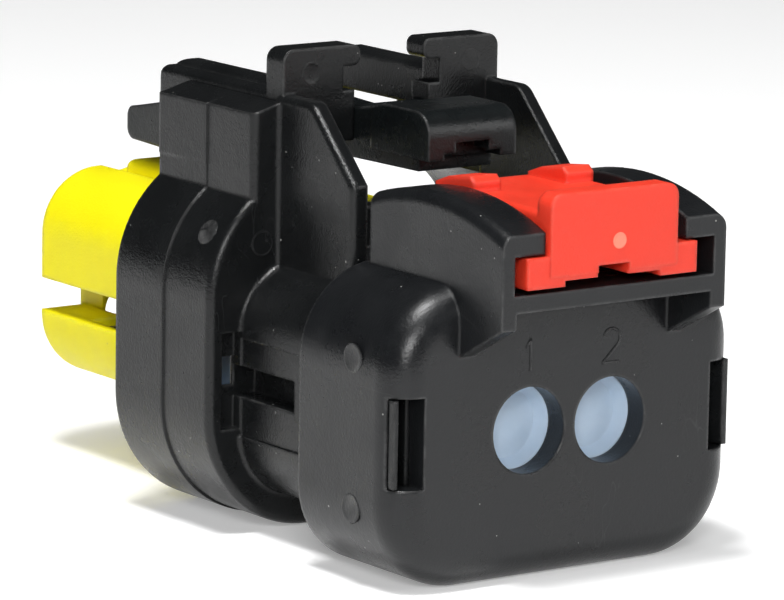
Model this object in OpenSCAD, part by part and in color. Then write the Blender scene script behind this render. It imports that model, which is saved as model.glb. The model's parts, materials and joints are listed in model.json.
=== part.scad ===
// Sealed two-way automotive plug: housing, rear cap, seals, latch lever and two locks.
// X runs across the plug, +Y is the way it goes into its mate and Z is up.
// Places along Y count from the rear face, and heights from the axis of the wire holes.

/* [Overall] */
// Height of the wire-hole axis above the surface that the plug rests on
axis_h = 9.2; // [9.1:0.05:9.3]
// Distance between the two contact axes
pitch = 6; // [5.8:0.1:6.2]
// Radius of a wire hole in the rear cap
wire_hole_r = 2.62; // [2.4:0.01:2.7]
// Radius of a contact cavity in the nose
contact_r = 1.8; // [1.7:0.05:1.9]
// Radius of a contact port in the wedge lock's face
port_r = 1.6; // [1.4:0.05:1.65]

/* [Rear cap] */
// Width of the rear cap
cap_w = 25.4; // [25:0.1:25.6]
// Length of the rear cap
cap_l = 9.85; // [9.7:0.05:10]
// Top of the rear cap above the axis
cap_top = 9.1; // [9:0.05:9.2]
// Corner radius of the rear cap's outline
cap_corner = 5.4; // [5.2:0.1:6]
// Rounding of the rear cap's rear edge
cap_edge = 2.1; // [1.8:0.1:2.3]
// Thickness of the plate behind the wire seal
cap_plate = 1.6; // [1.4:0.1:1.8]
// Inner edge of a corner window, from the middle
window_in = 10.58; // [10.5:0.02:10.7]
// Outer edge of a corner window, from the middle
window_out = 12.45; // [12.4:0.05:12.5]
// Half the height of a corner window
window_half = 2.73; // [2.6:0.01:2.8]

/* [Neck] */
// Width of the neck between the rear cap and the shroud
neck_w = 21.86; // [21.6:0.02:22]
// Bottom of the neck
neck_low = -7; // [-7.2:0.05:-6.9]
// Top of the neck
neck_top = 7.75; // [7.6:0.05:7.9]
// Corner radius of the neck
neck_corner = 4.4; // [4:0.1:4.8]
// Fillet where the neck and the side plates meet the shroud
root_fillet = 0.32; // [0.2:0.01:0.4]

/* [Shroud] */
// Width of the shroud's rear part
shroud_w = 26.5; // [26.3:0.1:26.7]
// Top of the shroud
shroud_top = 13.1; // [13:0.05:13.2]
// Corner radius of the shroud
shroud_corner = 7.6; // [7.4:0.1:7.8]
// Wall thickness of the shroud
shroud_wall = 1.1; // [1:0.05:1.2]
// Rear face of the shroud and of the ears
shroud_back = 18.7; // [18.6:0.05:18.8]
// Front rim of the shroud
shroud_rim = 28.96; // [28.8:0.02:29.1]
// Rounding of the shroud's rear edge
shroud_edge = 0.5; // [0.4:0.05:0.7]
// Place of the ledge between the shroud's rear and front parts
ledge_y = 23.73; // [23.6:0.01:23.8]
// Height of that ledge
ledge = 0.12; // [0.08:0.01:0.15]

/* [Guard walls and rails] */
// Half the clear width between the guard walls
guard_in = 7.75; // [7.7:0.05:7.8]
// Half the width over the guard walls
guard_out = 10.3; // [10.2:0.05:10.4]
// Top of a guard wall's outer face
guard_top = 16.85; // [16.7:0.05:17]
// Top of a guard wall beside the ears
guard_crest = 17.4; // [17.3:0.05:17.5]
// Top of a rail
rail_top = 18.4; // [18.2:0.05:18.6]
// Underside of a rail
rail_low = 15.7; // [15.6:0.05:15.8]
// Inner face of a rail, from the middle
rail_in = 5.2; // [5.1:0.05:5.3]
// Front end of a rail
rail_front = 32.3; // [32:0.1:32.6]

/* [Ears and hinge] */
// Half the width over the ears
ear_out = 8.05; // [8:0.05:8.1]
// Front face of an ear
ear_front = 20.55; // [20.5:0.05:20.6]
// Top of an ear
ear_top = 20.6; // [20.5:0.05:20.7]
// Place of the hinge axis along the plug
hinge_y = 19.6; // [19.55:0.05:19.65]
// Height of the hinge axis
hinge_z = 16; // [15.95:0.05:16.05]
// Radius of the hinge studs
hinge_r = 0.7; // [0.6:0.05:0.75]
// Radial clearance round the hinge studs
hinge_gap = 0.04; // [0.02:0.01:0.06]

/* [Side plates] */
// Outer face of a side plate, from the middle
plate_out = 8.27; // [8.2:0.01:8.3]
// Inner face of a side plate, from the middle
plate_in = 7.2; // [7.1:0.05:7.3]
// Top of a side plate
plate_top = 17.8; // [17.7:0.05:17.9]
// Rear edge of a side plate
plate_back = 10.9; // [10.8:0.05:11]
// Height where a side plate's rear edge starts to slant
plate_bend = 13.35; // [13.2:0.05:13.5]
// Rounding of a side plate's outer edge
plate_edge = 0.42; // [0.3:0.02:0.5]

/* [Fins] */
// Front end of a fin
fin_front = 9.2; // [9:0.1:9.3]
// Rear end of a fin and of the shelf
fin_back = -4.09; // [-4.2:0.01:-4]
// Highest point of a fin
fin_top = 14.2; // [14:0.05:14.4]
// Radius of the fins' arched top
arch_r = 19.4; // [19:0.1:20]
// Outer face of a fin, from the middle
fin_out = 8.2; // [8.1:0.05:8.3]
// Inner face of a fin below its lip, from the middle
fin_in = 7.35; // [7.2:0.05:7.4]
// Underside of the lip that holds the position lock down
lip_z = 11.39; // [11.35:0.01:11.45]

/* [Latch lever] */
// Half the width of the press pad
pad_half = 3.25; // [3.2:0.05:3.3]
// Half the width of the lever's arm
arm_half = 2.7; // [2.6:0.05:2.75]
// Rear face of the press pad
pad_back = 10.2; // [10.1:0.05:10.3]
// Front face of the press pad
pad_front = 16.3; // [16.2:0.05:16.4]
// Underside of the press pad
pad_low = 14.57; // [14.5:0.01:14.6]
// Top of the press pad
pad_top = 17.5; // [17.4:0.05:17.6]
// Front end of the lever's hook
hook_front = 44.4; // [44.2:0.1:44.6]

/* [Locks] */
// Travel of the position lock
lock_travel = 2.6; // [2.2:0.1:2.6]
// Rear face of the position lock
lock_back = -4.4; // [-4.5:0.05:-4.35]
// Half the width of the position lock's upper block
lock_half = 4.65; // [4.5:0.05:4.7]
// Sideways play that the position lock has taken up
lock_play = 0.35; // [0:0.05:0.4]
// Travel of the wedge lock
wedge_travel = 2.2; // [1.8:0.1:2.2]
// Front face of the wedge lock at its open stop
wedge_front = 46.7; // [46.5:0.1:46.9]
// Rear end of the wedge lock at its open stop
wedge_back = 26.3; // [26:0.1:26.4]
// Width of the wedge lock
wedge_w = 16.6; // [16.4:0.1:16.8]
// Bottom of the wedge lock
wedge_low = -4.25; // [-4.4:0.05:-4.1]
// Top of the wedge lock's shoulders
wedge_top = 9.35; // [9.2:0.05:9.5]
// Front end of the nose inside the wedge lock
nose_front = 39; // [38.5:0.1:39.2]
// Length of a contact port in the wedge lock's face
port_l = 2.8; // [2.6:0.1:3]
// Width of the nose
nose_w = 14.8; // [14.6:0.1:14.9]
// Bottom of the nose
nose_low = -3.3; // [-3.4:0.05:-3.2]
// Top of the nose
nose_top = 7.8; // [7.7:0.05:7.9]

/* [Hidden] */
$fn = 48;

middle_y = (wedge_front + lock_back) / 2;
eps = 0.5;
fit = 0.05;

floor_z = -axis_h;
seal_w = 17;
seal_low = -5.6;
seal_top = 6.6;
seal_corner = 4.4;
seal_front = 8;
shroud_seal = 23.7;
nose_corner = 3.3;
wedge_corner = 4.2;
slot_low = 0.1;
slot_top = 2.3;
slot_in = 4.75;
slot_back = 36.6;
wedge_floor = nose_front + wedge_travel + 0.2;
port_back = wedge_front - port_l;

// Two-plug frame: the bottom of the plug on Z = 0, its length centred on Y = 0.
module place()
    translate([0, -middle_y, axis_h]) children();

// Carries a (y, z) profile across the plug.
module across(x0, x1)
    translate([x0, 0, 0]) rotate([90, 0, 90]) linear_extrude(x1 - x0) children();

// Carries an (x, z) profile along the plug.
module along(y0, y1)
    translate([0, y1, 0]) rotate([90, 0, 0]) linear_extrude(y1 - y0) children();

// Carries an (x, y) profile upward.
module upward(z0, z1)
    translate([0, 0, z0]) linear_extrude(z1 - z0) children();

module both_sides() {
    children();
    mirror([1, 0, 0]) children();
}

module box(x0, x1, y0, y1, z0, z1)
    translate([x0, y0, z0]) cube([x1 - x0, y1 - y0, z1 - z0]);

// A round pin or hole along Y.
module rod_y(r, y0, y1, x = 0, z = 0)
    translate([x, y1, z]) rotate([90, 0, 0]) cylinder(r = r, h = y1 - y0);

// A round pin or hole along X.
module rod_x(r, x0, x1, y, z)
    translate([x0, y, z]) rotate([0, 90, 0]) cylinder(r = r, h = x1 - x0);

// Rectangle with chosen corners rounded: flags go left-low, right-low, right-top, left-top.
module soft_square(x0, x1, z0, z1, r, corners = [1, 1, 1, 1]) {
    places = [[x0 + r, z0 + r], [x1 - r, z0 + r], [x1 - r, z1 - r], [x0 + r, z1 - r]];
    tips = [[x0, z0], [x1 - r, z0], [x1 - r, z1 - r], [x0, z1 - r]];
    translate([x0 + r, z0]) square([x1 - x0 - 2 * r, z1 - z0]);
    translate([x0, z0 + r]) square([x1 - x0, z1 - z0 - 2 * r]);
    for (i = [0:3])
        if (corners[i] == 1) translate(places[i]) circle(r);
        else translate(tips[i]) square(r);
}

// Section of a fillet in the corner of two walls; it fills towards -x and +y.
module fillet(r)
    difference() {
        translate([-r / 2, -r]) square([1.5 * r, 1.5 * r]);
        translate([r, -r]) circle(r);
    }

// Carries a profile round a rounded rectangle: its x counts outward from the corner centres.
module swept_ring(w, z0, z1, r) {
    side = w / 2 - r;
    for (flip = [0, 1])
        translate([0, 0, flip * (z0 + z1)]) mirror([0, 0, flip]) {
            both_sides()
                translate([side, 0, z1 - r])
                    rotate([90, 0, 0]) mirror([0, 0, 1]) rotate_extrude(angle = 90) children();
            translate([side, 0, z1 - r]) rotate([0, -90, 0]) linear_extrude(2 * side) children();
        }
    both_sides()
        translate([side, 0, z0 + r]) linear_extrude(z1 - z0 - 2 * r) children();
}

// Block with a rounded-rectangle outline and a softened rear or front edge.
module soft_block(w, z0, z1, r, y0, y1, rear = 0, front = 0) {
    swept_ring(w, z0, z1, r)
        if (rear > 0) soft_square(0, r, y0, y1, rear, [0, 1, 0, 0]);
        else if (front > 0) soft_square(0, r, y0, y1, front, [0, 0, 1, 0]);
        else translate([0, y0]) square([r, y1 - y0]);
    box(-w / 2 + r, w / 2 - r, y0, y1, z0 + r, z1 - r);
}

// ---------------------------------------------------------------- housing

module neck() {
    slip = 0.1;
    soft_block(neck_w, neck_low, neck_top, neck_corner, cap_l, shroud_back + eps);
    soft_block(neck_w - 2 * slip, neck_low + slip, neck_top - slip, neck_corner - slip,
               cap_plate, cap_l + eps);
    swept_ring(neck_w, neck_low, neck_top, neck_corner)
        translate([neck_corner, shroud_back]) fillet(root_fillet);
}

module shroud() {
    inner = shroud_w - 2 * shroud_wall;
    open_z = 10.5;
    difference() {
        union() {
            soft_block(shroud_w, floor_z + ledge, shroud_top, shroud_corner,
                       shroud_back, ledge_y, rear = shroud_edge);
            soft_block(shroud_w + 2 * ledge, floor_z, shroud_top + ledge, shroud_corner + ledge,
                       ledge_y, shroud_rim);
        }
        soft_block(inner, floor_z + shroud_wall, shroud_top - shroud_wall,
                   shroud_corner - shroud_wall, shroud_back + shroud_wall, shroud_rim + eps);
        box(-guard_in, guard_in, shroud_back - eps, shroud_rim + eps, open_z, shroud_top + eps);
    }
}

// Inner nose that carries the contacts, with a groove in each side.
module nose()
    difference() {
        soft_block(nose_w, nose_low, nose_top, nose_corner, shroud_back, nose_front);
        both_sides()
            box(slot_in + fit, nose_w, slot_back, nose_front + eps, slot_low, slot_top);
    }

// Section of a guard wall; its foot follows the shroud's corner.
module guard_section(out, band) {
    band_z = 13.1;
    polygon([[guard_in, 11.9], [9, 11.6], [out - band, 11], [out - band, band_z], [out, band_z],
             [out, guard_top], [plate_out, guard_crest], [guard_in, guard_crest]]);
}

module guard_wall() {
    wall_edge = 0.47;
    intersection() {
        along(shroud_back, ledge_y) guard_section(guard_out - ledge, 0.01);
        upward(floor_z, ear_top)
            soft_square(guard_in, guard_out - ledge, shroud_back, ledge_y, wall_edge, [0, 1, 0, 0]);
    }
    along(ledge_y, shroud_rim) guard_section(guard_out, 0.06);
}

// Rail along the top of a guard wall, in two heights, its front end rounded down.
module rail() {
    band_top = 18;
    intersection() {
        along(ear_front - eps, rail_front) {
            soft_square(rail_in, ear_out, rail_low, band_top, 0.5, [0, 0, 1, 0]);
            soft_square(rail_in, rail_in + 2, rail_low, rail_top, 0.8, [0, 0, 1, 1]);
        }
        across(rail_in - 1, ear_out + 1)
            soft_square(shroud_back, rail_front, rail_low - 1, rail_top, 1.2, [0, 0, 1, 0]);
    }
}

// Ear turned inward over the lever.
module ear()
    along(shroud_back, ear_front) {
        soft_square(3.64, ear_out, 17, ear_top, 0.8, [0, 0, 1, 0]);
        soft_square(2.4, 5, 19.3, ear_top, 0.5, [1, 0, 0, 1]);
    }

// Web under an ear that holds a hinge stud.
module hinge_web()
    along(shroud_back, ear_front - fit)
        translate([2.8, 14.7]) square([ear_out - 2.8, 3.1]);

// Side plate with a slanted rear edge and a rounded outer edge all round.
module side_plate() {
    foot_z = 5;
    corner_r = 1.2;
    lean = 44.6;
    round_y = plate_back + (plate_top - plate_bend) / tan(lean) + 0.5;
    round_z = plate_top - corner_r;
    lip = plate_out - plate_edge;
    for (inset = [0, plate_edge]) {
        r = corner_r - inset;
        back = plate_back + inset;
        bend = plate_bend - inset * tan((90 - lean) / 2);
        across(plate_in, inset > 0 ? plate_out : lip) {
            polygon([[back, foot_z], [back, bend], [round_y - r * sin(lean), round_z + r * cos(lean)],
                     [round_y, round_z], [round_y, round_z + r], [shroud_back + eps, round_z + r],
                     [shroud_back + eps, foot_z]]);
            translate([round_y, round_z]) circle(r);
        }
    }
    mid_r = corner_r - plate_edge;
    back = plate_back + plate_edge;
    bend = plate_bend - plate_edge * tan((90 - lean) / 2);
    slant = norm([round_y - mid_r * sin(lean) - back, round_z + mid_r * cos(lean) - bend]);
    translate([lip, back, foot_z]) cylinder(r = plate_edge, h = bend - foot_z);
    translate([lip, back, bend]) {
        sphere(plate_edge);
        rotate([lean - 90, 0, 0]) cylinder(r = plate_edge, h = slant);
    }
    translate([lip, round_y, round_z]) rotate([0, 90, 0])
        rotate_extrude() translate([mid_r, 0]) circle(plate_edge);
    rod_y(plate_edge, round_y, shroud_back + eps, lip, round_z + mid_r);
    upward(foot_z, guard_crest)
        translate([plate_out, shroud_back]) fillet(root_fillet);
}

// Snap arm that reaches back into the rear cap's corner window, its tip hooked outward.
module snap_arm() {
    half = window_half - 0.1;
    upward(-half, half)
        polygon([[12.1, 0.55], [12.4, 0.55], [12.4, 1.9], [11.9, 1.95], [11.9, cap_l], [10.4, cap_l],
                 [10.4, 8.4], [11.2, 8.4], [11.2, 2.6], [11.6, 1.6]]);
}

module contact_cavities()
    for (x = [-pitch / 2, pitch / 2])
        rod_y(contact_r, seal_front - eps, nose_front + eps, x);

// Pocket in the shroud's rear face beside the neck, with a slot that runs back along the neck.
module side_pocket() {
    pocket_out = 12.3;
    slot_end = 11.47;
    side = neck_w / 2;
    box(side, pocket_out, shroud_back - eps, shroud_back + 0.75, -2.45, 3.55);
    box(slot_end - eps, pocket_out - 0.2, shroud_back - eps, shroud_back + 2, 0.15, 1.95);
    box(side - 1.6, slot_end, 13.13, shroud_back + 0.8, -0.5, 1.42);
    box(side - 0.12, side + eps, cap_l - eps, shroud_back, -2.9, 3.15);
}

module housing() {
    color("#26272a")
        difference() {
            union() {
                neck();
                shroud();
                nose();
                both_sides() {
                    guard_wall();
                    rail();
                    ear();
                    hinge_web();
                    side_plate();
                    snap_arm();
                }
            }
            soft_block(seal_w, seal_low, seal_top, seal_corner, 0, seal_front);
            contact_cavities();
            both_sides() {
                side_pocket();
                rod_x(hinge_r + hinge_gap, 2, 4.6, hinge_y, hinge_z);
            }
        }
}

// ---------------------------------------------------------------- rear cap

// Half of the arched guide: outer wall with a rounded shoulder and a lip turned inward.
module fin() {
    arch_y = 3.5;
    difference() {
        intersection() {
            translate([0, arch_y, fin_top - arch_r]) rotate([0, 90, 0])
                rotate_extrude($fn = 180)
                    soft_square(0, arch_r, rail_in, fin_out, 0.8, [0, 0, 1, 0]);
            box(rail_in - eps, fin_out + eps, fin_back, fin_front, cap_top - eps, fin_top + eps);
        }
        box(rail_in - 1, fin_in, fin_back - eps, fin_front + eps, cap_top - 2 * eps, lip_z);
    }
}

// Shelf under the position lock, with a gusset at each end.
module shelf() {
    box(-fin_out, fin_out, fin_back, cap_edge, 8.05, cap_top);
    both_sides()
        across(fin_out - 1.04, fin_out)
            polygon([[fin_back, 9], [fin_back, 7.09], [0, 4.9], [cap_plate, 4.9], [cap_plate, 9]]);
}

// Corner window: shallow and wide at the rear, narrower where the snap arm runs.
module corner_window() {
    box(window_in, window_out, -eps, 2.2, -window_half, window_half);
    box(window_out - eps, cap_w, -eps, 0.6, -window_half, window_half);
    box(neck_w / 2 - eps, 12, 2, cap_l + eps, -window_half, window_half);
}

module rear_cap() {
    color("#2b2c2f")
        difference() {
            union() {
                soft_block(cap_w, floor_z, cap_top, cap_corner, 0, cap_l, rear = cap_edge);
                shelf();
                both_sides() fin();
            }
            soft_block(neck_w, neck_low, neck_top, neck_corner, cap_plate, cap_l + eps);
            for (x = [-pitch / 2, pitch / 2])
                rod_y(wire_hole_r, -eps, cap_plate + eps, x);
            both_sides() corner_window();
        }
}

// ---------------------------------------------------------------- seals

// Seal behind the wires: one thin web stands in each wire hole, dished round its middle.
module wire_seal() {
    dish = 0.8;
    color("#8fa3b8")
        difference() {
            soft_block(seal_w - 2 * fit, seal_low + fit, seal_top - fit, seal_corner - fit,
                       cap_plate, seal_front);
            for (x = [-pitch / 2, pitch / 2])
                translate([x, cap_plate + dish, 0]) rotate([90, 0, 0])
                    cylinder(r1 = 2.1, r2 = 2.55, h = dish + 0.01);
        }
}

module ring_seal() {
    seal_start = shroud_back + shroud_wall + fit;
    color("#5f7fa6")
        difference() {
            soft_block(19, -6.7, 9.7, 6.5, seal_start, shroud_seal);
            soft_block(nose_w, nose_low, nose_top, nose_corner, seal_start - eps, shroud_seal + eps);
        }
}

// ---------------------------------------------------------------- moving pieces

module press_pad() {
    crown = 1.5;
    difference() {
        across(-pad_half, pad_half) {
            polygon([[pad_back, pad_low], [pad_back, pad_top - crown], [pad_back + crown, pad_top - crown],
                     [pad_back + crown, pad_top], [15, pad_top], [pad_front, 17.15], [pad_front, pad_low]]);
            translate([pad_back + crown, pad_top - crown]) circle(crown);
        }
        box(-2.1, 2.1, pad_back - eps, 11.8, pad_low - eps, 14.97);
        box(-1.25, 1.25, pad_back - eps, 11.8, pad_low - eps, 15.6);
    }
}

// Arm of the lever: it falls away forward and ends in a blunt, rounded hook.
module lever_arm() {
    tip = 0.75;
    tip_y = hook_front - tip;
    across(-arm_half, arm_half) {
        polygon([[12, 13.7], [12, 16.5], [16, 17.2], [20, 16.48], [23.7, 15.8], [27.5, 15.95], [40, 14.2],
                 [tip_y, 13.45], [tip_y, 11.25], [40.5, 11.15], [27, 12.3], [23, 12.95], [19, 13.6]]);
        soft_square(tip_y - 2 * tip, hook_front, 11.25, 13.45, tip, [0, 1, 1, 0]);
    }
}

module latch_lever() {
    color("#232427") {
        press_pad();
        lever_arm();
        rod_x(hinge_r, -4.4, 4.4, hinge_y, hinge_z);
    }
}

// Slide under the fins: wings below the lips, a tall block between them and two front prongs.
module position_lock() {
    base = 9.4;
    wing_half = 6.2;
    color("#e8432e")
        translate([-lock_play, 0, 0])
            difference() {
                union() {
                    box(-wing_half, wing_half, lock_back + 0.1, 6, base, 11.25);
                    along(lock_back, -3)
                        soft_square(-lock_half, lock_half, 10, 14.9, 0.8, [0, 0, 1, 1]);
                    along(-3.5, 7.4)
                        soft_square(-lock_half, lock_half, 10, 13.8, 0.4, [0, 0, 1, 1]);
                    both_sides()
                        across(2.43, 4.43)
                            polygon([[3.55, 13], [3.55, 14.4], [4, 14.75], [6, 14.5], [7.4, 14], [7.4, 13]]);
                }
                box(-3.5, 3.5, lock_back - eps, 8, 9, 9.75);
                box(-1.15, 1.15, lock_back - eps, 8, 9, 10.45);
            }
}

// Key on top of the wedge lock.
module wedge_key() {
    key_half = 2.05;
    key_top = 9.72;
    key_front = 45.4;
    intersection() {
        along(wedge_back, key_front)
            soft_square(-key_half, key_half, nose_top + fit, key_top, 0.5, [0, 0, 1, 1]);
        across(-key_half, key_half)
            soft_square(wedge_back, key_front, nose_top + fit, key_top, 0.8, [0, 0, 1, 0]);
    }
}

// Space in front of a jaw's rounded corner, drawn for a corner at the origin.
module jaw_corner(r)
    difference() {
        translate([-r, 0]) square([r + eps, r]);
        translate([-r, r]) circle(r);
    }

// Slot in the wedge lock's side, open to the front between two rounded jaws.
module wedge_slot() {
    across(slot_in, wedge_w) {
        translate([slot_back, slot_low])
            square([wedge_front + eps - slot_back, slot_top - slot_low]);
        translate([wedge_front, slot_top]) jaw_corner(0.75);
        translate([wedge_front, slot_low]) mirror([0, 1]) jaw_corner(0.45);
    }
    box(pitch / 2, slot_in + fit, wedge_floor - fit, port_back, slot_low, 1.3);
}

module wedge_lock() {
    color("#f2e21c")
        difference() {
            union() {
                difference() {
                    soft_block(wedge_w, wedge_low, wedge_top, wedge_corner, wedge_back, wedge_front,
                               front = 1.25);
                    both_sides()
                        rod_y(2.4, wedge_back - eps, wedge_front + eps, 2.3, 11.12);
                }
                wedge_key();
            }
            soft_block(nose_w + 2 * fit, nose_low - fit, nose_top + fit, nose_corner + fit,
                       wedge_back - eps, wedge_floor);
            both_sides() wedge_slot();
            for (x = [-pitch / 2, pitch / 2]) {
                rod_y(contact_r, wedge_floor - eps, port_back, x);
                rod_y(port_r, port_back - eps, wedge_front + eps, x);
            }
        }
}

place() housing();
place() rear_cap();
place() wire_seal();
place() ring_seal();
place() latch_lever();
place() position_lock();
place() wedge_lock();
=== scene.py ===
"""Finish and studio of a sealed two-way automotive plug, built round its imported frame.

Each sub-assembly is a class: its sizes are fields in millimetres, and its methods give the
frame's nodes their moulded finish and add the small marks that a mould leaves on them.
"""

import json
import logging
import math
from dataclasses import dataclass, field
from enum import Enum

import bpy
import numpy as np
from mathutils import Matrix, Vector


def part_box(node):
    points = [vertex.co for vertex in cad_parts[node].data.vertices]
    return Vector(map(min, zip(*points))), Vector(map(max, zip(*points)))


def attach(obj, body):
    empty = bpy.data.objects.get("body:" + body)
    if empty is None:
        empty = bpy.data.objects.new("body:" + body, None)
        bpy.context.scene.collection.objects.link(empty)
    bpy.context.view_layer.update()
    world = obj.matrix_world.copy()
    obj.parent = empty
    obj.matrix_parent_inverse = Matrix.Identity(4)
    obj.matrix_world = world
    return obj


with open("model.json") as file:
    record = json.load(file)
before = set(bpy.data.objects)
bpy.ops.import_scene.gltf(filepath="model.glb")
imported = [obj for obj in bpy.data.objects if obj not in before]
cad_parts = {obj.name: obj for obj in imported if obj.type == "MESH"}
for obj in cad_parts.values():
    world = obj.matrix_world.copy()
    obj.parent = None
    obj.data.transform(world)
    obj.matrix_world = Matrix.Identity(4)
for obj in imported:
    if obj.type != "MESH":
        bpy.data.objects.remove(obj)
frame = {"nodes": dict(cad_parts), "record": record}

MM = 0.001
LOG = logging.getLogger("plug")


class Piece(Enum):
    """The frame's nodes that take a finish."""

    HOUSING = "housing"
    REAR_CAP = "rear_cap"
    WIRE_SEAL = "wire_seal"
    RING_SEAL = "ring_seal"
    LATCH_LEVER = "latch_lever"
    POSITION_LOCK = "position_lock"
    WEDGE_LOCK = "wedge_lock"


class Body(Enum):
    """The frame's moving bodies."""

    SHELL = "shell"
    LATCH = "latch"
    LOCK = "lock"
    WEDGE = "wedge"


# ------------------------------------------------------------------ meshes


def grid_faces(rows: int, cols: int, ring: bool = True) -> np.ndarray:
    """Quads between neighbouring points of a rows by cols grid.

    Args:
        rows: number of points along the first parameter.
        cols: number of points along the second parameter.
        ring: whether the second parameter closes on itself.

    Returns:
        An array of quads, one row of four point numbers each.
    """
    i, j = np.meshgrid(np.arange(rows - 1), np.arange(cols if ring else cols - 1), indexing="ij")
    k = (j + 1) % cols
    return np.stack([i * cols + j, i * cols + k, (i + 1) * cols + k, (i + 1) * cols + j], axis=-1).reshape(-1, 4)


def closed_ends(rows: int, cols: int) -> list[list[int]]:
    """One cap polygon over each end of a ringed grid, facing away from the grid."""
    first = list(range(cols))[::-1]
    last = list(range((rows - 1) * cols, rows * cols))
    return [first, last]


def make_object(name: str, points: np.ndarray, faces: list[list[int]]) -> bpy.types.Object:
    """Puts points in millimetres and faces into a smooth-shaded mesh object at the origin.

    Args:
        name: the object's name.
        points: an n by 3 array, in millimetres.
        faces: lists of point numbers, counter-clockwise seen from outside.

    Returns:
        The new object, linked to the scene.
    """
    mesh = bpy.data.meshes.new(name)
    mesh.from_pydata((points * MM).tolist(), [], faces)
    mesh.polygons.foreach_set("use_smooth", np.ones(len(faces), dtype=bool))
    mesh.update()
    made = bpy.data.objects.new(name, mesh)
    bpy.context.scene.collection.objects.link(made)
    return made


def bead(path: np.ndarray, normal: np.ndarray, width: float, height: float, sides: int = 10) -> tuple:
    """A raised bead along a path that lies on a surface.

    The bead is an ellipse carried along the path: point (s, a) is the path point at s, plus
    cos a times half the width along the surface, plus sin a times the height along the surface's
    normal. The ellipse shrinks to nothing over the first and last points, which closes the ends.

    Args:
        path: an n by 3 array of points on the surface.
        normal: the surface normal at each path point, n by 3, or one normal for all.
        width: full width of the bead.
        height: how far the bead stands proud.
        sides: number of points round the ellipse.

    Returns:
        The points and the faces.
    """
    normal = np.broadcast_to(normal, path.shape)
    along = np.gradient(path, axis=0)
    along /= np.linalg.norm(along, axis=1, keepdims=True)
    side = np.cross(along, normal)
    side /= np.linalg.norm(side, axis=1, keepdims=True)
    s = np.linspace(-1.0, 1.0, len(path))
    swell = np.sqrt(np.clip(1.0 - np.abs(s) ** 24, 0.02, 1.0))[:, None, None]
    a = np.linspace(0.0, 2.0 * math.pi, sides, endpoint=False)[None, :, None]
    points = (path[:, None, :] + swell * (0.5 * width * np.cos(a) * side[:, None, :]
                                          + height * np.sin(a) * normal[:, None, :]))
    faces = grid_faces(len(path), sides)[:, ::-1].tolist()
    caps = [cap[::-1] for cap in closed_ends(len(path), sides)]
    return points.reshape(-1, 3), faces + caps


def polar_frame(normal: np.ndarray) -> tuple[np.ndarray, np.ndarray]:
    """Two unit vectors that, with the normal, make a right-handed set."""
    normal = normal / np.linalg.norm(normal)
    helper = np.array([0.0, 0.0, 1.0]) if abs(normal[2]) < 0.9 else np.array([1.0, 0.0, 0.0])
    u = np.cross(helper, normal)
    u /= np.linalg.norm(u)
    return u, np.cross(normal, u)


def pin_mark(centre: np.ndarray, normal: np.ndarray, radius: float, height: float,
             bend: float = math.inf) -> tuple:
    """The round witness of an ejector pin: a low disc with a soft raised rim.

    A surface of revolution: at distance r from the middle it stands proud by the height times
    0.35 plus a bump at 0.9 of the radius, and it falls below the surface at the edge. On a
    rounded wall every point also drops by the square of its distance round the wall over twice
    the wall's radius.

    Args:
        centre: the middle of the mark, on the surface.
        normal: the surface's outward normal.
        radius: radius of the mark.
        height: height of its rim.
        bend: radius of the rounded wall under the mark, or infinity for a flat one.

    Returns:
        The points and the faces.
    """
    normal = np.asarray(normal, float) / np.linalg.norm(normal)
    u, v = polar_frame(normal)
    r = np.concatenate([np.linspace(1.03, 0.8, 9), [0.6, 0.3, 0.02]]) * radius
    lift = height * (0.35 + 0.65 * np.exp(-(((r / radius) - 0.9) / 0.06) ** 2))
    lift = np.where(r > radius, -height, lift)[:, None, None]
    a = np.linspace(0.0, 2.0 * math.pi, 40, endpoint=False)[None, :, None]
    drop = (r[:, None, None] * np.sin(a)) ** 2 / (2.0 * bend)
    points = centre + r[:, None, None] * (np.cos(a) * u + np.sin(a) * v) + (lift - drop) * normal
    faces = grid_faces(len(r), 40).tolist()
    return points.reshape(-1, 3), faces + closed_ends(len(r), 40)


def joined(name: str, parts: list[tuple]) -> bpy.types.Object:
    """Joins several (points, faces) pairs into one object.

    Args:
        name: the object's name.
        parts: pairs of an n by 3 point array and a face list.

    Returns:
        The new object.
    """
    starts = np.cumsum([0] + [len(points) for points, _ in parts])
    faces = [[int(start) + k for k in face] for start, (_, some) in zip(starts, parts) for face in some]
    return make_object(name, np.concatenate([points for points, _ in parts]), faces)


# ------------------------------------------------------------------ node groups


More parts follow.
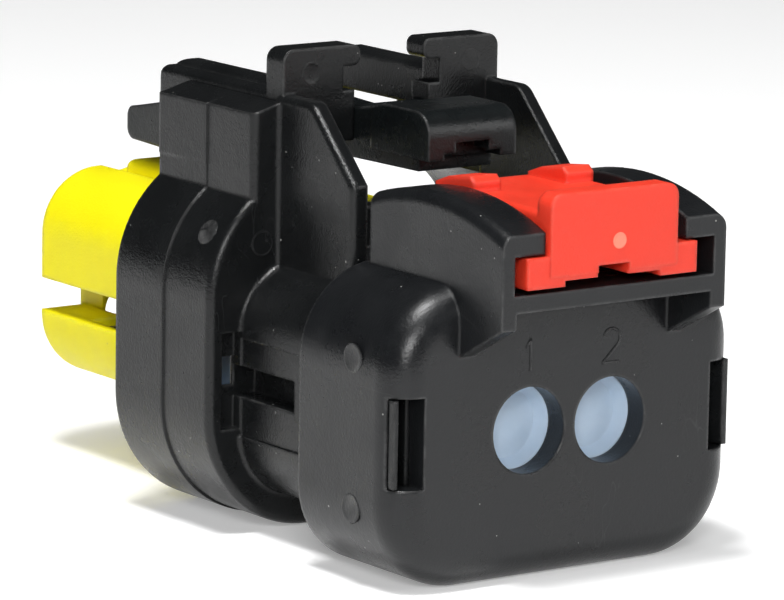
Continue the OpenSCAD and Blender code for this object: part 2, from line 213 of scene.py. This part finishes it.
class Graph:
    """A thin wrapper that adds and joins shader nodes in one tree."""

    def __init__(self, tree: bpy.types.NodeTree) -> None:
        """Keeps the tree that nodes are added to."""
        self.tree = tree

    def add(self, kind: str, settings: dict | None = None, **inputs) -> bpy.types.Node:
        """Adds one node.

        Args:
            kind: the node's type, without the ShaderNode prefix.
            settings: attributes to set on the node.
            **inputs: values or output sockets, by input name with _ for a space.

        Returns:
            The new node.
        """
        made = self.tree.nodes.new("ShaderNode" + kind)
        for key, value in (settings or {}).items():
            setattr(made, key, value)
        for key, value in inputs.items():
            self.feed(made, key.replace("_", " "), value)
        return made

    def feed(self, made: bpy.types.Node, key: str | int, value) -> None:
        """Sets an input, or links it when the value is an output socket."""
        socket = made.inputs[key]
        if isinstance(value, bpy.types.NodeSocket):
            self.tree.links.new(value, socket)
        else:
            socket.default_value = value

    def math(self, operation: str, a, b=0.0, clamp: bool = False) -> bpy.types.NodeSocket:
        """One maths step on two numbers or sockets, giving its output socket."""
        made = self.add("Math", {"operation": operation, "use_clamp": clamp})
        self.feed(made, 0, a)
        self.feed(made, 1, b)
        return made.outputs[0]

    def remap(self, value, low: float, high: float, to_low: float = 0.0, to_high: float = 1.0) -> bpy.types.NodeSocket:
        """Maps a range onto another, clamped, giving the output socket."""
        made = self.add("MapRange", {"clamp": True})
        for key, number in zip(range(5), (value, low, high, to_low, to_high)):
            self.feed(made, key, number)
        return made.outputs[0]

    def blend(self, kind: str, factor, a, b) -> bpy.types.NodeSocket:
        """Mixes two colours, giving the output socket."""
        made = self.add("Mix", {"data_type": "RGBA", "blend_type": kind})
        for key, value in ((0, factor), (6, a), (7, b)):
            self.feed(made, key, value)
        return made.outputs[2]


def new_group(name: str, inputs: dict[str, tuple], outputs: dict[str, str]) -> tuple:
    """Makes an empty shader node group.

    Args:
        name: the group's name.
        inputs: socket name to (socket type, default or None).
        outputs: socket name to socket type.

    Returns:
        The group, a Graph on it, its input node and its output node.
    """
    group = bpy.data.node_groups.new(name, "ShaderNodeTree")
    for key, (kind, default) in inputs.items():
        socket = group.interface.new_socket(name=key, in_out="INPUT", socket_type=kind)
        if default is not None:
            socket.default_value = default
    for key, kind in outputs.items():
        group.interface.new_socket(name=key, in_out="OUTPUT", socket_type=kind)
    graph = Graph(group)
    return group, graph, group.nodes.new("NodeGroupInput"), group.nodes.new("NodeGroupOutput")


def mould_grain_group() -> bpy.types.NodeTree:
    """Fine spark-eroded grain: a height for the bump and a slow tone for colour and roughness."""
    group, g, start, end = new_group(
        "mould_grain",
        {"Vector": ("NodeSocketVector", None), "Grain Scale": ("NodeSocketFloat", 6500.0)},
        {"Height": "NodeSocketFloat", "Tone": "NodeSocketFloat"})
    fine = g.add("TexNoise", Vector=start.outputs["Vector"], Scale=start.outputs["Grain Scale"],
                 Detail=2.0, Roughness=0.7)
    cloudy = g.add("TexNoise", Vector=start.outputs["Vector"], Scale=260.0, Detail=4.0, Roughness=0.62)
    pitted = g.add("TexNoise", Vector=start.outputs["Vector"], Scale=1800.0, Detail=3.0, Roughness=0.6)
    height = g.math("ADD", g.math("MULTIPLY", fine.outputs[0], 0.6), g.math("MULTIPLY", pitted.outputs[0], 0.4))
    g.feed(end, "Height", height)
    g.feed(end, "Tone", g.remap(cloudy.outputs[0], 0.3, 0.7))
    return group


def edge_wear_and_highlight_group() -> bpy.types.NodeTree:
    """Rubbed outer edges with painted highlight: a mask that is 1 on sharp outward edges, broken up by noise, and a
    softened normal; the mask lightens edges as wear and as painted highlight.
    """
    group, g, start, end = new_group(
        "edge_wear_and_highlight",
        {"Vector": ("NodeSocketVector", None), "Radius": ("NodeSocketFloat", 0.0002)},
        {"Mask": "NodeSocketFloat", "Normal": "NodeSocketVector"})
    rounded = g.add("Bevel", {"samples": 6}, Radius=start.outputs["Radius"])
    surface = g.add("NewGeometry")
    facing = g.add("VectorMath", {"operation": "DOT_PRODUCT"})
    g.feed(facing, 0, rounded.outputs[0])
    g.feed(facing, 1, surface.outputs["Normal"])
    turn = g.remap(facing.outputs["Value"], 0.995, 0.86)
    open_sky = g.add("AmbientOcclusion", {"samples": 4}, Distance=0.0008)
    outward = g.remap(open_sky.outputs["AO"], 0.75, 0.95)
    broken = g.add("TexNoise", Vector=start.outputs["Vector"], Scale=900.0, Detail=3.0, Roughness=0.7)
    patchy = g.remap(broken.outputs[0], 0.38, 0.62, 0.25, 1.0)
    g.feed(end, "Mask", g.math("MULTIPLY", g.math("MULTIPLY", turn, outward), patchy))
    g.feed(end, "Normal", rounded.outputs[0])
    return group


def fibre_specks_group() -> bpy.types.NodeTree:
    """Glass-fibre ends and dust: a mask of sparse tiny bright specks, one in some of the cells."""
    group, g, start, end = new_group(
        "fibre_specks",
        {"Vector": ("NodeSocketVector", None), "Scale": ("NodeSocketFloat", 2300.0),
         "Share": ("NodeSocketFloat", 0.05)},
        {"Mask": "NodeSocketFloat"})
    cells = g.add("TexVoronoi", Vector=start.outputs["Vector"], Scale=start.outputs["Scale"])
    parts = g.add("SeparateColor", Color=cells.outputs["Color"])
    chosen = g.math("LESS_THAN", parts.outputs[0], start.outputs["Share"])
    size = g.remap(parts.outputs[1], 0.0, 1.0, 0.05, 0.17)
    near = g.math("LESS_THAN", cells.outputs["Distance"], size)
    g.feed(end, "Mask", g.math("MULTIPLY", chosen, near))
    return group


def thread_scratch_group() -> bpy.types.NodeTree:
    """Handling scratches: thin lines where a stretched noise crosses its middle value."""
    group, g, start, end = new_group(
        "handling_scratches",
        {"Vector": ("NodeSocketVector", None), "Amount": ("NodeSocketFloat", 0.5)},
        {"Mask": "NodeSocketFloat"})
    turned = g.add("Mapping", Vector=start.outputs["Vector"])
    turned.inputs["Rotation"].default_value = (0.5, 0.8, 0.3)
    turned.inputs["Scale"].default_value = (1.0, 0.12, 0.3)
    lines = g.add("TexNoise", Vector=turned.outputs[0], Scale=700.0, Detail=1.0)
    offset = g.math("ABSOLUTE", g.math("SUBTRACT", lines.outputs[0], 0.5))
    thin = g.remap(offset, 0.0, 0.006, 1.0, 0.0)
    where = g.add("TexNoise", Vector=start.outputs["Vector"], Scale=180.0)
    some = g.remap(where.outputs[0], 0.56, 0.66)
    g.feed(end, "Mask", g.math("MULTIPLY", g.math("MULTIPLY", thin, some), start.outputs["Amount"]))
    return group


@dataclass
class Effects:
    """The node groups that several finishes share, each built once."""

    grain: bpy.types.NodeTree = field(default_factory=mould_grain_group)
    wear_and_highlight: bpy.types.NodeTree = field(default_factory=edge_wear_and_highlight_group)
    specks: bpy.types.NodeTree = field(default_factory=fibre_specks_group)
    scratches: bpy.types.NodeTree = field(default_factory=thread_scratch_group)


# ------------------------------------------------------------------ finishes


@dataclass(frozen=True)
class MouldedPlastic:
    """Satin injection-moulded plastic with grain, rubbed edges lightened partly as painted highlight, fibre specks and
    scratches.
    """

    name: str
    colour: tuple[float, float, float]
    edge_wear_and_highlight_colour: tuple[float, float, float]
    roughness: float = 0.45
    specular: float = 0.5
    tone_swing: float = 0.15
    grain_scale: float = 6500.0
    grain_depth: float = 0.7
    grain_height: float = 0.06
    edge_radius: float = 0.16
    wear_and_highlight: float = 0.5
    speck_share: float = 0.04
    speck_colour: tuple[float, float, float] = (0.26, 0.26, 0.25)
    scratch: float = 0.12
    translucency: float = 0.0

    def build(self, effects: Effects) -> bpy.types.Material:
        """Builds the material.

        Args:
            effects: the shared node groups.

        Returns:
            The finished material.
        """
        made = bpy.data.materials.new(self.name)
        made.use_nodes = True
        g = Graph(made.node_tree)
        shader = made.node_tree.nodes["Principled BSDF"]
        place = g.add("TexCoord").outputs["Object"]
        grain = g.add("Group", {"node_tree": effects.grain}, Vector=place, Grain_Scale=self.grain_scale)
        wear_and_highlight = g.add("Group", {"node_tree": effects.wear_and_highlight}, Vector=place, Radius=self.edge_radius * MM)
        specks = g.add("Group", {"node_tree": effects.specks}, Vector=place, Share=self.speck_share)
        scratches = g.add("Group", {"node_tree": effects.scratches}, Vector=place, Amount=self.scratch)
        dark = tuple(c * (1.0 - self.tone_swing) for c in self.colour) + (1.0,)
        pale = tuple(min(1.0, c * (1.0 + self.tone_swing)) for c in self.colour) + (1.0,)
        base = g.blend("MIX", grain.outputs["Tone"], dark, pale)
        # Outward edges are mixed towards the lighter edge colour: partly rubbed wear, partly a painted highlight along
        # the edge.
        wear_and_highlight_mask = g.math("MULTIPLY", wear_and_highlight.outputs["Mask"], self.wear_and_highlight, clamp=True)
        base = g.blend("MIX", g.math("MAXIMUM", wear_and_highlight_mask, scratches.outputs["Mask"]), base,
                       self.edge_wear_and_highlight_colour + (1.0,))
        base = g.blend("MIX", specks.outputs["Mask"], base, self.speck_colour + (1.0,))
        g.feed(shader, "Base Color", base)
        rough = g.remap(grain.outputs["Tone"], 0.0, 1.0, self.roughness - 0.09, self.roughness + 0.09)
        g.feed(shader, "Roughness", g.math("SUBTRACT", rough, g.math("MULTIPLY", wear_and_highlight_mask, 0.12), clamp=True))
        bump = g.add("Bump", Strength=self.grain_depth, Distance=self.grain_height * MM,
                     Height=grain.outputs["Height"], Normal=wear_and_highlight.outputs["Normal"])
        g.feed(shader, "Normal", bump.outputs[0])
        shader.inputs["Specular IOR Level"].default_value = self.specular
        if self.translucency > 0.0:
            shader.inputs["Subsurface Weight"].default_value = self.translucency
            shader.inputs["Subsurface Radius"].default_value = tuple(0.4 + 0.6 * c for c in self.colour)
            shader.inputs["Subsurface Scale"].default_value = 0.0006
        return made


@dataclass(frozen=True)
class Silicone:
    """Soft matte silicone with a faint bloom and fine mottling."""

    name: str
    colour: tuple[float, float, float]
    bloom_colour: tuple[float, float, float]
    roughness: float = 0.55

    def build(self, effects: Effects) -> bpy.types.Material:
        """Builds the material.

        Args:
            effects: the shared node groups.

        Returns:
            The finished material.
        """
        made = bpy.data.materials.new(self.name)
        made.use_nodes = True
        g = Graph(made.node_tree)
        shader = made.node_tree.nodes["Principled BSDF"]
        place = g.add("TexCoord").outputs["Object"]
        grain = g.add("Group", {"node_tree": effects.grain}, Vector=place, Grain_Scale=1800.0)
        wear_and_highlight = g.add("Group", {"node_tree": effects.wear_and_highlight}, Vector=place, Radius=0.12 * MM)
        base = g.blend("MIX", grain.outputs["Tone"], self.colour + (1.0,), self.bloom_colour + (1.0,))
        g.feed(shader, "Base Color", base)
        g.feed(shader, "Roughness", g.remap(grain.outputs["Tone"], 0.0, 1.0,
                                            self.roughness - 0.08, self.roughness + 0.1))
        bump = g.add("Bump", Strength=0.12, Distance=0.00002,
                     Height=grain.outputs["Height"], Normal=wear_and_highlight.outputs["Normal"])
        g.feed(shader, "Normal", bump.outputs[0])
        shader.inputs["Subsurface Weight"].default_value = 0.12
        shader.inputs["Subsurface Radius"].default_value = (0.6, 0.8, 1.0)
        shader.inputs["Subsurface Scale"].default_value = 0.0004
        return made


# The second colour of each finish is its lighter edge tone, for rubbed wear and for the painted highlight along outward
# edges.
BLACK_HOUSING = MouldedPlastic("housing_black", (0.0070, 0.0076, 0.0080), (0.10, 0.10, 0.10), roughness=0.27, specular=0.34,
                               edge_radius=0.3)
BLACK_CAP = MouldedPlastic("cap_black", (0.0085, 0.0092, 0.0102), (0.11, 0.11, 0.11), roughness=0.30, specular=0.38, grain_depth=0.5,
                           edge_radius=0.3)
BLACK_LATCH = MouldedPlastic("latch_black", (0.0060, 0.0074, 0.0078), (0.09, 0.09, 0.09), roughness=0.28, specular=0.32,
                             edge_radius=0.3)
RED_LOCK = MouldedPlastic("lock_red", (0.76, 0.042, 0.018), (0.95, 0.22, 0.15), roughness=0.46, specular=0.4, wear_and_highlight=0.25, edge_radius=0.4,
                          tone_swing=0.04, speck_share=0.004, speck_colour=(0.95, 0.5, 0.45), scratch=0.05,
                          translucency=0.25)
YELLOW_WEDGE = MouldedPlastic("wedge_yellow", (0.86, 0.77, 0.006), (0.95, 0.90, 0.30), roughness=0.42, specular=0.2, edge_radius=0.4,
                              wear_and_highlight=0.25, tone_swing=0.03, speck_share=0.003, speck_colour=(0.6, 0.55, 0.1),
                              scratch=0.05, translucency=0.3)
RED_GATE = MouldedPlastic("lock_gate", (0.86, 0.20, 0.13), (0.95, 0.4, 0.3), roughness=0.6, wear_and_highlight=0.0,
                          speck_share=0.0, scratch=0.0)
GREY_SEAL = Silicone("seal_grey", (0.44, 0.56, 0.70), (0.52, 0.63, 0.76))
BLUE_SEAL = Silicone("seal_blue", (0.13, 0.24, 0.40), (0.20, 0.31, 0.47))


# ------------------------------------------------------------------ sub-assemblies


def dress(node: Piece, material: bpy.types.Material) -> None:
    """Gives one of the frame's nodes its finish in every material slot."""
    made = frame["nodes"][node.value]
    if not made.material_slots:
        made.data.materials.append(material)
    for slot in made.material_slots:
        slot.material = material


def add_piece(made: bpy.types.Object, body: Body,
              material: bpy.types.Material) -> bpy.types.Object:
    """Makes a new piece ride on a body in the given finish, and reports it."""
    made.data.materials.append(material)
    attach(made, body.value)
    LOG.info("piece %s on %s", made.name, body.value)
    return made


def mount_point(name: str) -> np.ndarray:
    """A mount's stated place in millimetres."""
    mount = next(m for m in frame["record"]["mounts"] if m["name"] == name)
    return np.array(mount["pos_m"]) / MM


def stroke(corners: list[tuple[float, float]], step: float = 0.08) -> np.ndarray:
    """Evenly spaced (x, z) points along straight runs between the given corners."""
    at = np.array(corners, float)
    runs = np.linalg.norm(np.diff(at, axis=0), axis=1)
    along = np.concatenate([[0.0], np.cumsum(runs)])
    s = np.linspace(0.0, along[-1], max(6, int(along[-1] / step)))
    return np.stack([np.interp(s, along, at[:, 0]), np.interp(s, along, at[:, 1])], axis=1)


@dataclass
class PlugShell:
    """Housing, rear cap and seals, with the cavity numbers and the ejector-pin marks."""

    wire_axis: np.ndarray
    plate: float = 1.6
    figure_height: float = 2.0
    figure_rise: float = 3.5
    bead_width: float = 0.2
    bead_height: float = 0.06
    mark_radius: float = 0.9
    mark_height: float = 0.05
    shroud_back: float = 18.7
    shroud_half: float = 13.25
    shroud_top: float = 13.1
    shroud_corner: float = 7.6
    shoulder_turn: float = 32.0

    def dress(self, effects: Effects) -> dict[Piece, bpy.types.Material]:
        """Builds the four finishes, puts them on the nodes and gives them back."""
        finishes = {Piece.HOUSING: BLACK_HOUSING, Piece.REAR_CAP: BLACK_CAP,
                    Piece.WIRE_SEAL: GREY_SEAL, Piece.RING_SEAL: BLUE_SEAL}
        made = {node: finish.build(effects) for node, finish in finishes.items()}
        for node, material in made.items():
            dress(node, material)
        return made

    def figure(self, shape: np.ndarray, cavity: float) -> tuple:
        """One stroke of a cavity number, as a bead on the rear face.

        Args:
            shape: (x, z) points of the stroke, from the figure's bottom middle.
            cavity: the cavity's place across the plug.

        Returns:
            The points and the faces.
        """
        rear = self.wire_axis[1] - self.plate / 2
        path = np.stack([cavity + shape[:, 0], np.full(len(shape), rear),
                         self.wire_axis[2] + self.figure_rise + shape[:, 1]], axis=1)
        return bead(path, np.array([0.0, -1.0, 0.0]), self.bead_width, self.bead_height)

    def numbers(self) -> bpy.types.Object:
        """The raised 1 and 2 over the wire holes."""
        h, pitch = self.figure_height, -self.wire_axis[0]
        one = stroke([(-0.35, 0.72 * h), (0.0, h), (0.0, 0.0)])
        turn = np.linspace(math.radians(165), math.radians(-38), 22)
        bow = np.stack([0.62 * np.cos(turn), 0.72 * h + 0.3 * h * np.sin(turn)], axis=1)
        tail = stroke([tuple(bow[-1]), (-0.66, 0.0), (0.7, 0.0)])
        two = np.concatenate([bow, tail[1:]])
        return joined("cavity_numbers", [self.figure(one, -pitch), self.figure(two, pitch)])

    def spot(self, side: float, x: float, y: float, z: float) -> np.ndarray:
        """A place x from the middle on one side, y from the rear face and z above the wire axis."""
        return np.array([side * x, self.wire_axis[1] - self.plate / 2 + y, self.wire_axis[2] + z])

    def cap_marks(self) -> bpy.types.Object:
        """Ejector-pin marks on the sides of the rear cap."""
        _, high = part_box(Piece.REAR_CAP.value)
        parts = [pin_mark(self.spot(side, high[0] / MM - 0.01, 4.4, rise), np.array([side, 0.0, 0.0]),
                          self.mark_radius, self.mark_height)
                 for side in (-1.0, 1.0) for rise in (4.6, -4.4)]
        return joined("cap_pin_marks", parts)

    def housing_marks(self) -> bpy.types.Object:
        """Ejector-pin marks on the shroud's rear face, its rounded shoulders and the ears."""
        turn = math.radians(self.shoulder_turn)
        rear = np.array([0.0, -1.0, 0.0])
        parts = []
        for side in (-1.0, 1.0):
            parts.append(pin_mark(self.spot(side, 9.45, self.shroud_back, 8.86), rear, 0.82, self.mark_height))
            parts.append(pin_mark(self.spot(side, 6.0, self.shroud_back, 19.05), rear, 0.72, 0.03))
            out = np.array([side * math.cos(turn), 0.0, math.sin(turn)])
            heart = self.spot(side, self.shroud_half - self.shroud_corner, self.shroud_back + 2.0,
                              self.shroud_top - self.shroud_corner)
            parts.append(pin_mark(heart + out * (self.shroud_corner - 0.01), out, 0.85, self.mark_height,
                                  self.shroud_corner))
        return joined("housing_pin_marks", parts)

    def build(self, effects: Effects) -> list[bpy.types.Object]:
        """Dresses the nodes, adds the moulded marks and gives the new pieces."""
        materials = self.dress(effects)
        cap = [add_piece(made, Body.SHELL, materials[Piece.REAR_CAP])
               for made in (self.numbers(), self.cap_marks())]
        marks = add_piece(self.housing_marks(), Body.SHELL, materials[Piece.HOUSING])
        return [*cap, marks]


@dataclass
class MovingParts:
    """Latch lever and the two locks, with the gate mark on the position lock."""

    gate_radius: float = 0.5
    gate_rise: float = 2.4

    def build(self, effects: Effects) -> list[bpy.types.Object]:
        """Dresses the three nodes, adds the gate mark and gives the new pieces."""
        dress(Piece.LATCH_LEVER, BLACK_LATCH.build(effects))
        dress(Piece.WEDGE_LOCK, YELLOW_WEDGE.build(effects))
        dress(Piece.POSITION_LOCK, RED_LOCK.build(effects))
        low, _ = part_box(Piece.POSITION_LOCK.value)
        spot = np.array([0.0, low[1] / MM, low[2] / MM + self.gate_rise])
        gate = joined("lock_gate_mark", [pin_mark(spot, np.array([0.0, -1.0, 0.0]), self.gate_radius, 0.03)])
        return [add_piece(gate, Body.LOCK, RED_GATE.build(effects))]


# ------------------------------------------------------------------ studio


@dataclass
class Studio:
    """Pale floor, soft lamps and the camera."""

    floor_size: float = 4000.0
    floor_colour: tuple[float, float, float] = (0.90, 0.90, 0.90)
    floor_glow: float = 0.28
    world_strength: float = 0.02
    aim: tuple[float, float, float] = (-3.655, -7.831, 15.202)
    distance: float = 330.99
    azimuth: float = -35.617
    elevation: float = 10.740
    roll: float = 0.99
    lens: float = 250.71
    shift: tuple[float, float] = (0.00167, -0.0064)

    def floor(self) -> bpy.types.Object:
        """The floor: a square grid, flat at height 0, in a faintly uneven pale finish."""
        side = np.linspace(-0.5, 0.5, 9) * self.floor_size
        x, y = np.meshgrid(side, side, indexing="ij")
        points = np.stack([x, y, np.zeros_like(x)], axis=-1).reshape(-1, 3)
        made = make_object("studio_floor", points, grid_faces(9, 9, ring=False)[:, ::-1].tolist())
        finish = bpy.data.materials.new("studio_paper")
        finish.use_nodes = True
        g = Graph(finish.node_tree)
        shader = finish.node_tree.nodes["Principled BSDF"]
        place = g.add("TexCoord").outputs["Object"]
        cloud = g.add("TexNoise", Vector=place, Scale=30.0, Detail=2.0)
        pale = self.floor_colour + (1.0,)
        shade = tuple(c * 0.985 for c in self.floor_colour) + (1.0,)
        g.feed(shader, "Base Color", g.blend("MIX", cloud.outputs[0], shade, pale))
        shader.inputs["Roughness"].default_value = 0.9
        shader.inputs["Specular IOR Level"].default_value = 0.1
        ray = g.add("LightPath").outputs
        seen = g.math("MAXIMUM", g.math("MAXIMUM", ray["Is Camera Ray"], ray["Is Glossy Ray"]),
                      ray["Is Transmission Ray"])
        shader.inputs["Emission Color"].default_value = (1.0, 1.0, 1.0, 1.0)
        g.feed(shader, "Emission Strength", g.math("MULTIPLY", seen, self.floor_glow))
        made.data.materials.append(finish)
        return made

    def lamp(self, name: str, place: tuple[float, float, float], size: float, watts: float) -> None:
        """A square soft box that faces the plug.

        Args:
            name: the lamp's name.
            place: its place in millimetres.
            size: length of its side in millimetres.
            watts: its power.
        """
        light = bpy.data.lights.new(name, "AREA")
        light.shape, light.size, light.energy = "SQUARE", size * MM, watts
        made = bpy.data.objects.new(name, light)
        made.location = Vector(place) * MM
        made.rotation_mode = "QUATERNION"
        towards = Vector((0.0, 0.0, 12.0 * MM)) - made.location
        made.rotation_quaternion = towards.to_track_quat("-Z", "Y")
        bpy.context.scene.collection.objects.link(made)

    def camera(self) -> None:
        """The camera: it stands back from the aim along its azimuth and elevation, turned by its roll."""
        az, el, roll = (math.radians(a) for a in (self.azimuth, self.elevation, self.roll))
        back = Vector((math.sin(az) * math.cos(el), -math.cos(az) * math.cos(el), math.sin(el)))
        right = Vector((math.cos(az), math.sin(az), 0.0))
        up = back.cross(right)
        turned_right = right * math.cos(roll) + up * math.sin(roll)
        turned_up = up * math.cos(roll) - right * math.sin(roll)
        lens = bpy.data.cameras.new("camera")
        lens.lens, lens.sensor_width = self.lens, 36.0
        lens.shift_x, lens.shift_y = self.shift
        lens.clip_start, lens.clip_end = 0.01, 20.0
        made = bpy.data.objects.new("camera", lens)
        made.matrix_world = Matrix.Translation((Vector(self.aim) + back * self.distance) * MM) @ Matrix(
            (turned_right, turned_up, back)).transposed().to_4x4()
        bpy.context.scene.collection.objects.link(made)
        bpy.context.scene.camera = made

    def build(self) -> None:
        """Sets up world, floor, lamps and camera."""
        scene = bpy.context.scene
        scene.view_settings.view_transform = "Standard"
        world = scene.world or bpy.data.worlds.new("studio")
        scene.world = world
        world.use_nodes = True
        sky = world.node_tree.nodes["Background"]
        sky.inputs["Color"].default_value = (0.95, 0.97, 1.0, 1.0)
        sky.inputs["Strength"].default_value = self.world_strength
        self.floor()
        self.lamp("overhead", (-60.0, -120.0, 620.0), 420.0, 1.0)
        self.lamp("spark", (-110.0, -70.0, 430.0), 80.0, 1.6)
        self.lamp("key_left", (-420.0, -560.0, 330.0), 220.0, 3.0)
        self.lamp("fill_right", (380.0, -520.0, 240.0), 300.0, 1.2)
        self.camera()


def main() -> None:
    """Builds every sub-assembly in order, logging how many pieces each adds, then the studio."""
    logging.basicConfig(level=logging.INFO)
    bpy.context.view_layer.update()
    effects = Effects()
    shell = PlugShell(wire_axis=mount_point("wire_entry_1"))
    for assembly in (shell, MovingParts()):
        pieces = assembly.build(effects)
        LOG.info("%s added %d pieces", type(assembly).__name__, len(pieces))
    Studio().build()


if __name__ == "__main__":
    main()
